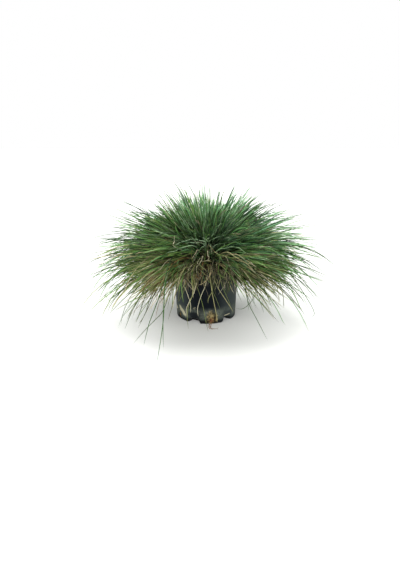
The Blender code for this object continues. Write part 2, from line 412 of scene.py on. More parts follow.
# The front of the wall, where neither dust nor painted sheen lies: the azimuth of its middle and half angle.
FRONT_WITHOUT_DUST_AND_SHEEN = (math.radians(-3), math.radians(38))
points = mesh_points(pot_mesh)
azimuth = np.arctan2(points[:, 0], -points[:, 1])
pitch = 2 * math.pi / FOOT_COUNT
from_foot = (azimuth - FRONT_FOOT_AZIMUTH + pitch / 2) % pitch - pitch / 2
at_front_foot = np.abs(from_front_of(azimuth - FRONT_FOOT_AZIMUTH)) < pitch / 2
for name, aside, half_width, half_height in SLOT_STAINS:
    across = (from_foot * WALL_FOOT_RADIUS - aside) / half_width
    from_middle = np.hypot(across, (points[:, 2] - STAIN_HEIGHT) / half_height)
    add_values(pot_mesh, name, np.where(at_front_foot, 1, OTHER_FEET_SHARE) * hump(from_middle, 0, 1, 4))
splash = np.zeros(len(points))
for middle, half_angle, ledge, fall, half_height, strength in LEDGES:
    beside = azimuth - math.radians(middle)
    above = points[:, 2] - ledge + fall * beside
    splash += strength * hump(beside, 0, math.radians(half_angle), 4) * hump(above, 0, half_height)
in_arch = hump(np.abs(from_foot), pitch / 2, RECESS_HALF_ANGLE, 4)
add_values(pot_mesh, "splash", splash)
add_values(pot_mesh, "recess", in_arch * ramp(points[:, 2], RECESS_TOP, RECESS_TOP - RECESS_FADE))
add_values(pot_mesh, "haze", 1 - hump(azimuth, *FRONT_WITHOUT_DUST_AND_SHEEN, 4))

plastic, shader, shade = new_material("pot_plastic", {"Specular IOR Level": 0.09, "IOR": 1.5})
place = shade.place()
height = place.part("Z")
cloud = shade.grain(place, 38, 5, 0.6)
speck = shade.grain(place, 420, 3, 0.6)
smear = shade.grain(place, 130, 4, 0.65)
recess = shade.attribute("recess")
film = (height + cloud * 0.012).ease(*FILM_TOP) * (0.45 + cloud.ease(0.36, 0.62) * 0.55)
# No film shows in the arches or near the foot's edge, where shade is painted instead.
film = film * (1 - recess * 0.95) * height.ease(*FILM_FOOT) * (0.6 + smear.ease(0.40, 0.60) * 0.6)
soil = (shade.attribute("slot_stain") * 1.3 + smear * 1.6 + speck * 0.7 - 1.65).ease(0.0, 0.6)
cream = (shade.attribute("splash") * 1.3 + smear * 1.8 + speck * 0.6 - 1.6).ease(0.1, 0.6)
# Dust, with a painted sheen on the sides of the wall, lightens all of the wall but its front.
dust_and_sheen = shade.attribute("haze") * (0.45 + cloud * 0.55) + speck.ease(0.62, 0.75) * 0.12
crust = soil + cream
drive(shader, {
    "Base Color": shade.layered(
        srgb(5, 11, 18),
        (dust_and_sheen, srgb(60, 68, 69)),
        (film * 0.60, srgb(112, 119, 108)),
        # Painted shade along the foot's bottom edge, deeper in the arches.
        (height.ease(*PAINTED_FOOT_SHADE) * (0.5 + recess * 0.45), srgb(5, 6, 6)),
        (soil * 0.74, shade.layered(srgb(58, 48, 26), (smear.ease(0.42, 0.64), srgb(160, 142, 94)))),
        (cream * 0.85, srgb(196, 190, 160)),
        # The streak beside each slot is painted shadow of its opening.
        (shade.attribute("streak") * 0.9, srgb(14, 13, 9)),
    ),
    "Roughness": 0.34 + dust_and_sheen * 0.3 + film * 0.25 + crust * 0.3,
    "Bump": (cloud * 0.6 + speck * 0.4 + crust * 0.8, 0.0004),
})
add_piece("nursery_pot_shell", pot_mesh, plastic, "pot_plastic", "nursery_pot")


# Root ball: moist bark and peat compost, bound by the plant's roots into one lump of the pot's own shape.
# It sits a little below the rim, sunken and crumbly on top, and shows tan and matted in the drain slots.

SOIL_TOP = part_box("root_ball")[1][2]
SOIL_SHOULDER = 0.0025
SOIL_GAP = 0.0006
SOIL_ROLL = 0.0010
SOIL_COLUMNS = 180
SOIL_STEP = 0.0026
CRUMB_DEPTH = 0.0011
CRUMBS_IN_A_METRE = 420
LUMPS_IN_A_METRE = 90


def crumbly(radius, azimuth, height):
    """The pot's inside, with the compost drawn back from it in crumbs and pits."""
    spots = around(radius, azimuth, height)
    crumbs = np.array([noise.fractal(Vector(spot) * CRUMBS_IN_A_METRE, 0.7, 2.1, 3) for spot in spots])
    lumps = np.array([noise.noise(Vector(spot) * LUMPS_IN_A_METRE) for spot in spots])
    depth = CRUMB_DEPTH * np.clip(0.5 + 0.5 * crumbs + 0.5 * lumps, 0, 1.4)
    radius, azimuth, height = pressed(radius, azimuth, height)
    on_top = height > SOIL_TOP - SOIL_SHOULDER / 2
    return radius - np.where(on_top, 0, depth), azimuth, height - np.where(on_top, 1.6 * depth, 0)


top_radius = wall_radius(SOIL_TOP - SOIL_SHOULDER) - WALL - SOIL_GAP
soil_corners = inner_corners(SOIL_GAP) + [
    (top_radius, SOIL_TOP - SOIL_SHOULDER),
    (top_radius - SOIL_SHOULDER, SOIL_TOP),
    (0.0, SOIL_TOP),
]
soil_mesh = turned("soil", spaced(rounded(soil_corners, SOIL_ROLL), SOIL_STEP), SOIL_COLUMNS, crumbly)
shade_round(soil_mesh, 70)

# A rusty mat of old roots fills the bottom of the front foot's slot.
MAT_AZIMUTH = FRONT_FOOT_AZIMUTH - math.radians(2)
MAT_HALF_ANGLE = math.radians(4)
MAT_HEIGHT = 0.0050
MAT_SPREAD = 0.0055
MATTED_TOP = (0.0300, 0.0160)
points = mesh_points(soil_mesh)
azimuth = np.arctan2(points[:, 0], -points[:, 1])
mat = hump(azimuth, MAT_AZIMUTH, MAT_HALF_ANGLE) * hump(points[:, 2], MAT_HEIGHT, MAT_SPREAD)
add_values(soil_mesh, "root_mat", mat)

compost, shader, shade = new_material("compost", {"Specular IOR Level": 0.3})
place = shade.place()
clods = shade.grain(place, 260, 5, 0.65)
fibres = shade.grain(place, 900, 4, 0.7)
low = place.part("Z").ease(*MATTED_TOP)
drive(shader, {
    "Base Color": shade.layered(
        srgb(52, 39, 28),
        (clods.ease(0.38, 0.66), srgb(108, 82, 52)),
        (low * (0.2 + clods.ease(0.46, 0.62) * 0.65), srgb(158, 134, 84)),
        (low * clods.ease(0.50, 0.40) * 0.95, srgb(14, 11, 7)),
        (fibres.ease(0.60, 0.70) * 0.7, srgb(116, 78, 48)),
        (shade.attribute("root_mat") * (0.5 + fibres), srgb(96, 44, 30)),
    ),
    "Roughness": 0.98 - clods * 0.25,
    "Bump": (clods * 0.7 + fibres * 0.5, 0.0012),
})
add_piece("compost_ball", soil_mesh, compost, "compost", "root_ball")


# Crown: the plant's old heart, a dense dome of leaf bases that years of shoots have left behind. The dry
# sheaths stand on it like stubble, with a thatch of dead leaves caught between them.

CROWN_RADIUS = 0.0460
CROWN_SHOULDER = 0.1080
CROWN_HEIGHT = 0.0260
CROWN_FOOT_RADIUS = 0.0420
CROWN_EDGE_ANGLE = math.radians(75)
CROWN_COLUMNS = 120
CROWN_STEPS = 26
CLEFT_DEPTH = 0.0028
CLEFTS_IN_A_METRE = 190
CLEFT_FOOT = 0.0020
GRAIN_IN_A_METRE = 500
SHEATH_COUNT = 900
SHEATH_EDGE = 1.14
THATCH_COUNT = 620
THATCH_PLACES = (0.15, 1.16)
CROWN_GAP = 0.0004

# On the map for baking, each blade has a cell of its own, three times as high as wide, with a margin in it.
CELL_SLENDERNESS = 3
CELL_MARGIN = np.array((0.10, 0.04))
FOOT_STRIP = 0.04

# No leaf reaches further past the CAD's box than the margin, and none touches the floor or the pot. One
# that crosses the rim, from a little inside its mouth, lies on it. Lower down it hangs beside the wall.
REACH_MARGIN = (0.006, 0.006, 0.012)
WALL_CLEARANCE = 0.0016
FLOOR_CLEARANCE = 0.0007
OVER_RIM_FROM = 0.0950
INSIDE_MOUTH = 0.0030
UNDER_BAND = 0.0020

# From the crown's top to its edge: how many degrees leaves lean at their feet, how many more they bend
# over on their way, and how long they are. The bend grows towards the tip by a power.
BEND_POWER = 1.3
START_TILTS = (3, 24, 46, 66, 79)
BEND_ANGLES = (12, 22, 34, 42, 50)
LEAF_LENGTHS = (0.100, 0.115, 0.140, 0.170, 0.196)


def between(values, place):
    """Reads evenly spaced values at places from 0 to 1, and carries their last slope on past 1."""
    values = np.asarray(values, float)
    spot = np.asarray(place) * (len(values) - 1)
    low = np.clip(spot.astype(int), 0, len(values) - 2)
    return values[low] + (values[low + 1] - values[low]) * (spot - low)


def crown_spots(place, azimuth, sunk):
    """Points on the crown at places from its top (0) to its edge (1), sunk a little into it."""
    angle = place * CROWN_EDGE_ANGLE
    return around(
        (CROWN_RADIUS - sunk) * np.sin(angle), azimuth, CROWN_SHOULDER + (CROWN_HEIGHT - sunk) * np.cos(angle)
    )


def arching_lines(foot, heading, tilt, bend, length, curl, ripple, kink, chance, stations):
    """Points along leaves that rise from their feet and arch over, one row of points for each leaf.

    Tilt and bend are in degrees from upright. Curl turns a leaf sideways, ripple makes it wavy, and kink
    breaks it over at one spot.
    """
    count = len(foot)
    along = (np.arange(stations) + 0.5) / stations
    wave = chance.uniform(0, 2 * math.pi, (2, count, 1)) + along * chance.uniform(3, 9, (2, count, 1))
    broken = along > chance.uniform(0.25, 0.8, (count, 1))
    lean = tilt[:, None] + bend[:, None] * along ** BEND_POWER + kink[:, None] * broken
    lean = np.radians(lean + ripple[:, None] * np.sin(wave[0]))
    turn = heading[:, None] + np.radians(curl[:, None] * along ** 1.5 + ripple[:, None] * np.sin(wave[1]))
    ahead = around(np.sin(lean), turn, np.cos(lean))
    steps = ahead * (length / stations)[:, None, None]
    return np.concatenate((foot[:, None], foot[:, None] + np.cumsum(steps, axis=1)), axis=1)


def settled(lines):
    """Keeps leaves inside the clump's reach, off the floor, over the rim and outside the pot's wall."""
    low = np.array(cad_box[0]) - REACH_MARGIN
    high = np.array(cad_box[1]) + REACH_MARGIN
    foot = lines[:, :1]
    offset = lines - foot
    overshoot = np.max(offset / np.where(offset > 0, high - foot, low - foot), axis=(1, 2))
    lines = foot + offset / np.maximum(overshoot, 1)[:, None, None]
    radius = np.hypot(lines[..., 0], lines[..., 1])
    height = lines[..., 2]
    at_rim = (radius > mouth_radius - INSIDE_MOUTH) & (radius < RIM_RADIUS + WALL_CLEARANCE)
    over_rim = at_rim & (height > OVER_RIM_FROM)
    height = np.where(over_rim, np.maximum(height, POT_HEIGHT + WALL_CLEARANCE), height)
    outside = np.where(height > band_bottom - UNDER_BAND, RIM_RADIUS, wall_radius(height)) + WALL_CLEARANCE
    beside = (height <= OVER_RIM_FROM) & (radius < outside)
    push = np.where(beside, outside / np.maximum(radius, 1e-6), 1)
    height = np.maximum(height, FLOOR_CLEARANCE)
    return np.stack((lines[..., 0] * push, lines[..., 1] * push, height), axis=-1)


def blade_pattern(rings, sides):
    """One blade's faces, and for their corners the places around and along it and in its cell for baking.

    Its points run ring by ring, with the tip last. The foot's face has a strip of the cell to itself.
    """
    faces, spots = [], []
    for ring in range(rings - 1):
        for corner in range(sides):
            low, high, following = ring * sides, (ring + 1) * sides, (corner + 1) % sides
            faces.append((low + corner, low + following, high + following, high + corner))
            spots += [(corner, ring), (corner + 1, ring), (corner + 1, ring + 1), (corner, ring + 1)]
    last = (rings - 1) * sides
    for corner in range(sides):
        faces.append((last + corner, last + (corner + 1) % sides, rings * sides))
        spots += [(corner, rings - 1), (corner + 1, rings - 1), (corner + 0.5, rings)]
    faces.append(tuple(range(sides - 1, -1, -1)))
    spots += [(corner, 0) for corner in range(sides)]
    wrap = np.array(spots) / (sides, rings)
    cell = wrap * (1, 1 - FOOT_STRIP) + (0, FOOT_STRIP)
    cell[-sides:] = [(corner / (sides - 1), 0.75 * FOOT_STRIP * (corner % 2)) for corner in range(sides)]
    return faces, wrap, cell


def blade_points(lines, radii, turn, sides):
    """The points of tapering blades: rings around the points of their lines, but for the last, the tip."""
    ahead = np.gradient(lines, axis=1)
    ahead /= np.linalg.norm(ahead, axis=2, keepdims=True)
    chord = lines[:, -1] - lines[:, 0]
    side = np.stack((-chord[:, 1], chord[:, 0], np.zeros(len(lines))), axis=-1)
    side += np.where(np.linalg.norm(side, axis=1, keepdims=True) < 1e-5, (1, 0, 0), (0, 0, 0))
    side = side[:, None] - ahead * np.sum(side[:, None] * ahead, axis=2, keepdims=True)
    side /= np.linalg.norm(side, axis=2, keepdims=True)
    upper = np.cross(ahead, side)
    angle = (np.arange(sides) * 2 * math.pi / sides + turn[:, None])[:, None, :, None]
    spokes = side[:, :-1, None] * np.cos(angle) + upper[:, :-1, None] * np.sin(angle)
    rings = lines[:, :-1, None] + radii[:, :-1, None, None] * spokes
    return np.concatenate((rings.reshape(len(lines), -1, 3), lines[:, -1:]), axis=1)


def blade_piece(name, groups, material, slot, *nodes, sides=3):
    """One mesh of blades, a group for each kind.

    A group has its blades' lines, thickness, age and tint, bare_from, which is how far along a blade its foot
    counts, so that the sheath's colour and the painted shade near the feet lie lower, and how shaded they are
    by their neighbours, from 0 to 1.
    """
    verts, faces = [], []
    maps = {"OFBake": [], "blade_grain": []}
    values = {"along": [], "age": [], "tint": [], "shaded": []}
    total = sum(len(group["lines"]) for group in groups)
    columns = math.ceil(math.sqrt(total * CELL_SLENDERNESS))
    cells = (columns, math.ceil(total / columns))
    first = 0
    for group in groups:
        lines = group["lines"]
        count, rings = len(lines), lines.shape[1] - 1
        own = blade_points(lines, group["thickness"] / 2, group["tint"] * 6, sides)
        along = np.append(np.repeat(np.arange(rings) / rings, sides), 1.0)
        along_start = group.get("bare_from", 0.0)
        values["along"].append(np.tile(along_start + (1 - along_start) * along, count))
        for part in ("age", "tint", "shaded"):
            values[part].append(np.repeat(group.get(part, np.zeros(count)), own.shape[1]))
        pattern, wrap, cell = blade_pattern(rings, sides)
        starts = sum(map(len, verts)) + np.arange(count) * own.shape[1]
        faces += [tuple(start + vert for vert in face) for start in starts.tolist() for face in pattern]
        verts.append(own.reshape(-1, 3))
        number = first + np.arange(count)
        cell_spot = np.stack((number % columns, number // columns), axis=-1)[:, None] + CELL_MARGIN
        maps["OFBake"].append((cell_spot + cell * (1 - 2 * CELL_MARGIN)) / cells)
        lengths = np.linalg.norm(np.diff(lines, axis=1), axis=2).sum(axis=1)
        maps["blade_grain"].append(wrap * np.stack((np.ones(count), lengths), axis=-1)[:, None])
        first += count
    mesh = bpy.data.meshes.new(name)
    mesh.from_pydata(np.concatenate(verts).tolist(), [], faces)
    for map_name, parts in maps.items():
        spots = np.concatenate([part.ravel() for part in parts])
        mesh.uv_layers.new(name=map_name).data.foreach_set("uv", spots.astype(np.float32))
    for value_name, parts in values.items():
        add_values(mesh, value_name, np.concatenate(parts))
    mesh.shade_smooth()
    add_piece(name, mesh, material, slot, *nodes)


def tapered(thickness, stations, shape=((0, 0.1, 0.6, 0.88, 1), (1.2, 1.0, 1.0, 0.76, 0.2))):
    """The thickness of blades along their length, from their greatest thickness and the way they taper."""
    return thickness[:, None] * np.interp(np.linspace(0, 1, stations + 1), *shape)


# What a blade's age from 0 to 1 looks like: a young blue one, a green one, an ageing olive one, straw, and
# the brown and rust of last year's.
AGE_COLOURS = (
    (0.00, srgb(116, 168, 124)),
    (0.16, srgb(102, 158, 84)),
    (0.34, srgb(112, 153, 76)),
    (0.50, srgb(142, 150, 94)),
    (0.64, srgb(184, 176, 130)),
    (0.76, srgb(228, 223, 192)),
    (0.86, srgb(206, 186, 144)),
    (0.93, srgb(146, 112, 70)),
    (1.00, srgb(132, 92, 58)),
)
BLOOM_COLOUR = srgb(194, 220, 182)
# The colour of painted shade, which lies on blades that others shade, less at their tips, and deep in the
# clump near all blades' feet.
SHADE_COLOUR = srgb(3, 11, 2)
TIP_LIGHTENING = 0.28
FOOT_DARKENING = 0.96
STREAKS_IN_A_METRE = 70
RIB_COUNT = 9


def blade_material(name, roughness):
    """Leaf skin: the colour of its age, browner at the sheath and the tip, streaked and finely ribbed.

    A blade that others shade is painted dark, a little less so at its tip, and all blades get painted shade
    near their feet, deep in the clump.
    """
    material, shader, shade = new_material(name, {"Specular IOR Level": 0.12})
    age, tint, along, shaded = (shade.attribute(part) for part in ("age", "tint", "along", "shaded"))
    grain_map = shade.node("ShaderNodeUVMap", {"uv_map": "blade_grain"}, {})
    across, up = (grain_map.part(axis) for axis in "XY")
    lie = {"X": across * 0.8, "Y": up * STREAKS_IN_A_METRE, "Z": tint * 90}
    streak = shade.grain(shade.node("ShaderNodeCombineXYZ", {}, lie), 1.0, 3, 0.6)
    sheath = along.ease(0.16, 0.0)
    dry_tip = along.ease(0.86, 1.0) * tint.ease(0.35, 0.8)
    grown = age + (streak - 0.5) * 0.22 + sheath * (0.72 - age) * 0.8 + dry_tip * (0.78 - age) * 0.7
    colour = shade.node("ShaderNodeValToRGB", {"stops": AGE_COLOURS}, {"Fac": grown}, "Color")
    waxy = shade.maths("FRACT", tint * 5.17, 0).ease(0.58, 0.95) * 0.7 + streak.ease(0.45, 0.7) * 0.15
    ribs = shade.maths("SINE", across * (2 * math.pi * RIB_COUNT), 0)
    drive(shader, {
        "Base Color": shade.layered(
            colour,
            (waxy * age.ease(0.38, 0.12) * along.ease(0.1, 0.5), BLOOM_COLOUR),
            # Painted shade: on blades that others shade, less at their tips, and on all blades near their
            # feet.
            (shaded * (1 - along.ease(0.55, 0.9) * TIP_LIGHTENING), SHADE_COLOUR),
            (along.ease(0.70, 0.18) * FOOT_DARKENING, SHADE_COLOUR),
        ),
        "Roughness": roughness + streak * 0.2,
        "Bump": (ribs * 0.5 + streak, 0.00006),
    })
    return material


crown_bottom = SOIL_TOP + CROWN_GAP
crown_outline = [Vector((0, crown_bottom)), Vector((CROWN_FOOT_RADIUS, crown_bottom))]
for step in range(CROWN_STEPS + 1):
    angle = math.pi / 2 * (1 - step / CROWN_STEPS)
    height = CROWN_SHOULDER + CROWN_HEIGHT * math.cos(angle)
    crown_outline.append(Vector((CROWN_RADIUS * math.sin(angle), height)))


def tufted(radius, azimuth, height):
    """The crown's dome, cleft between the bundles of old shoots that it is made of."""
    spots = [Vector(spot) for spot in around(radius, azimuth, height)]
    clefts = np.array([noise.voronoi(spot * CLEFTS_IN_A_METRE)[0][0] for spot in spots])
    rough = np.array([noise.noise(spot * GRAIN_IN_A_METRE) for spot in spots])
    deep = CLEFT_DEPTH * np.clip(clefts + 0.4 * rough, 0, 1) * (height > SOIL_TOP + CLEFT_FOOT)
    return radius - deep * 0.7, azimuth, height - deep * 0.7


crown_mesh = turned("crown", crown_outline, CROWN_COLUMNS, tufted)
shade_round(crown_mesh, 80)
bases, shader, shade = new_material("leaf_bases", {"Specular IOR Level": 0.3})
place = shade.place()
bundles = shade.node("ShaderNodeTexVoronoi", {}, {"Vector": place, "Scale": 420.0}, "Distance")
cloud = shade.grain(place, 150, 4, 0.6)
dead = (cloud.ease(0.35, 0.65), srgb(84, 68, 42))
# Painted shade in the clefts between the bundles.
cleft_shade = (bundles.ease(0.35, 0.7), srgb(14, 12, 8))
drive(shader, {
    "Base Color": shade.layered(srgb(34, 28, 17), dead, cleft_shade),
    "Roughness": 0.8 + cloud * 0.2,
    "Bump": (1 - bundles, 0.0012),
})
add_piece("crown_dome", crown_mesh, bases, "leaf_bases", "crown")


def litter(place, stations, sunk, aside, steepness, lean, bend, length, curl, ripple, kink):
    """Lines of old sheaths or dead leaves that stand or lie on the crown, from their places on it."""
    count = len(place)
    azimuth = chance.uniform(-math.pi, math.pi, count)
    return settled(arching_lines(
        crown_spots(place, azimuth, sunk), azimuth + chance.normal(0, aside, count),
        between(START_TILTS, place) * steepness + chance.normal(*lean, count), chance.uniform(*bend, count),
        chance.uniform(*length, count), chance.normal(0, curl, count), chance.uniform(*ripple, count),
        chance.uniform(*kink, count) if any(kink) else np.zeros(count), chance, stations,
    ))


def litter_group(lines, thickness, age):
    """A group of blades from such lines."""
    count, points = lines.shape[:2]
    return {
        "lines": lines, "thickness": tapered(chance.uniform(*thickness, count), points - 1),
        "age": chance.uniform(*age, count), "tint": chance.random(count),
        "shaded": chance.uniform(0.3, 0.9, count),
    }


chance = np.random.default_rng(11)
old_leaf = blade_material("old_leaf", 0.55)
sheaths = litter(
    np.sqrt(chance.random(SHEATH_COUNT)) * SHEATH_EDGE, stations=4, sunk=0.003, aside=0.25, steepness=0.95,
    lean=(0, 9), bend=(0, 30), length=(0.010, 0.024), curl=12, ripple=(0, 6), kink=(0, 0),
)
thatch = litter(
    chance.uniform(*THATCH_PLACES, THATCH_COUNT), stations=8, sunk=0.002, aside=0.7, steepness=1,
    lean=(8, 14), bend=(10, 70), length=(0.025, 0.070), curl=40, ripple=(3, 18), kink=(0, 50),
)
blade_piece("crown_thatch", [
    litter_group(sheaths, thickness=(0.0012, 0.0019), age=(0.62, 0.98)),
    litter_group(thatch, thickness=(0.0006, 0.0011), age=(0.58, 1.0)),
], old_leaf, "leaf_bases", "crown")


# Tufts: the living shoots, each a sheath from which fine leaves spring. A leaf is rolled up lengthwise
# into a stiff needle under a millimetre thick, waxy and blue when young, and arches out under its weight.
# They stand in six rings from the top of the crown to its edge, where the oldest hang over the rim.

# From the crown's top to its edge. For each ring: its place, its tufts, the shoots in each, the share of
# old leaves, and how far along its leaves their feet count, which moves the sheath's colour and the painted
# shade near their feet lower.
RINGS = (
    ("heart_tuft", 0.00, 1, 24, 0.10, 0.10),
    ("inner_tuft", 0.22, 5, 20, 0.12, 0.08),
    ("upper_tuft", 0.42, 8, 20, 0.12, 0.04),
    ("middle_tuft", 0.62, 11, 20, 0.16, 0.00),
    ("outer_tuft", 0.81, 11, 21, 0.38, 0.05),
    ("skirt_tuft", 1.00, 11, 23, 0.60, 0.15),
)
LEAVES_PER_SHOOT = 12
LEAF_STATIONS = 10
LEAF_SUNK = 0.0020
LEAF_THICKNESS = (0.0009, 0.0019)
PLACE_SPREAD = 0.075
SECTOR_SPREAD = 0.62
FRONT_BACK_STRETCH = 0.10
BEND_SPREAD = (0.35, 1.55)
KINKED_SHARE = 0.3
KINK = (10, 30)

# Places on the crown, from 0 at its top to 1 at its edge: where the heart's shoots stand, where the parting
# opens, where leaves count as outer ones and as low ones, and from where on tufts droop and leaves rust.
HEART_PLACES = (0.01, 0.13)
PARTING_PLACES = (0.4, 0.7)
OUTER_PLACES = (0.6, 1.0)
LOW_PLACES = (0.25, 0.70)
DROOPING_FROM = 0.70
RUST_FROM = 0.72

# Where the clump is parted, sags, and has most old, rusty and olive leaves: the azimuth of the middle and
# the half angle.
PARTING = (0.03, 0.60)
DROOP = (math.radians(48), math.radians(30))
OLD_SIDE = (0.0, 0.9)
RUSTY_SIDE = (math.radians(-35), math.radians(22))
OLIVE_SIDE = (math.radians(50), math.radians(35))
PARTING_THINNING = 0.955
PARTED_FROM = 0.35
PARTING_REACH = 0.34
OLD_AGES = (0.50, 0.90)
RUST_AGE = 0.97
RUST_SHARE = 0.20
DROOP_LEFT = 20
DROOP_RIGHT = 15
DROOPING_SHOOTS = 0.9
DROOP_REACH = 0.68
DROOP_SHORTENING = 0.14
WANDERING_SHARE = 0.28
MOST_ASIDE = 0.75
MOST_CURL = 30
BEFORE_POT_LENGTH = 0.5

# Leaf lengths are shares of the place's full length. Usual ones lie about a middle, on top and at the edge.
USUAL_FACTORS = (0.77, 0.56)
USUAL_SPREAD = 0.12
SHORT_SHARE = 0.36
SHORT_FACTORS = (0.30, 0.74)
LONG_SHARE = 0.11
LONG_FACTORS = (0.80, 1.22)
LEAST_FACTOR = 0.25
THICK_FACTOR = 0.88
LONG_THICKENING = 1.25

# Some shoots are dark because others shade them: their share and its depth, on top and low down. Parts of
# the clump have more or fewer of them. For each part: the azimuth of its middle and its half angle in
# degrees, the places that it lies between, and the change in the share.
SHADED_SHARES = (0.45, 0.55)
SHADED_DEPTHS = (0.84, 0.95)
SHADED_SPOTS = (
    (0, 42, 0.22, 0.70, 0.40),
    (80, 28, 0.30, 0.70, 0.42),
    (-112, 30, 0.30, 1.20, 0.14),
    (-76, 24, 0.50, 0.82, 0.28),
    (125, 50, 0.00, 0.34, -0.30),
    (130, 38, 0.34, 1.20, -0.20),
    (66, 22, 0.66, 0.88, -0.32),
    (64, 22, 0.88, 1.20, 0.24),
    (-48, 20, 0.78, 1.20, -0.46),
    (0, 25, 0.78, 1.20, 0.62),
)
SHADED_STEP = 0.08
OWN_SHADE_SHARE = 0.35
OWN_TINT_SHARE = 0.45

fescue_leaf = blade_material("fescue_leaf", 0.4)


def drooping(turn):
    """How much the clump sags towards an azimuth, from 0 to 1. It does at both sides of the parting."""
    return hump(np.abs(from_front_of(turn)), *DROOP)


def leaf_ages(turn, place, ring_age, chance):
    """How old leaves look: bluer to the right and on top, greener to the left, olive and straw below."""
    count = len(turn)
    aside = from_front_of(turn)
    green_side = 0.5 - 0.5 * np.sin(turn + math.radians(10))
    towards_front = 0.14 + 0.86 * hump(aside, *OLD_SIDE)
    age = 0.07 + 0.27 * green_side * (0.55 + 0.45 * np.cos(turn)) * np.clip(place * 2, 0.3, 1)
    age = age + 1.05 * towards_front * np.clip(place - 0.62, 0, 1) + chance.normal(0, 0.09, count)
    age = age + 0.45 * np.clip(place - 0.6, 0, 1) * hump(aside, *OLIVE_SIDE)
    is_old = chance.random(count) < ring_age * towards_front * np.where(place > 0.55, 1.0, 0.5)
    age = np.where(is_old, chance.uniform(*OLD_AGES, count), age)
    rust = RUST_SHARE * hump(aside, *RUSTY_SIDE) * (place > RUST_FROM)
    return np.clip(np.where(chance.random(count) < rust, RUST_AGE, age), 0, 1)


def length_factors(place, chance):
    """How long leaves are: many short of their place's full length, and a few right out to it."""
    count = len(place)
    usual = chance.normal(between(USUAL_FACTORS, np.clip(place, 0, 1)), USUAL_SPREAD, count)
    kind = chance.random(count)
    factor = np.where(kind < SHORT_SHARE, chance.uniform(*SHORT_FACTORS, count), usual)
    factor = np.where(kind > 1 - LONG_SHARE, chance.uniform(*LONG_FACTORS, count), factor)
    return np.clip(factor, LEAST_FACTOR, LONG_FACTORS[1])


def shading(turn, place, spot):
    """How shaded leaves are. Those are whose spot from 0 to 1 is below the share of shaded ones there."""
    low = ramp(place, *LOW_PLACES)
    share = between(SHADED_SHARES, low)
    for middle, half_angle, lowest, highest, change in SHADED_SPOTS:
        near = hump(from_front_of(turn), math.radians(middle), math.radians(half_angle))
        share = share + change * near * ((place > lowest) & (place < highest))
    return ramp(share - spot, -SHADED_STEP / 2, SHADED_STEP / 2) * between(SHADED_DEPTHS, low)


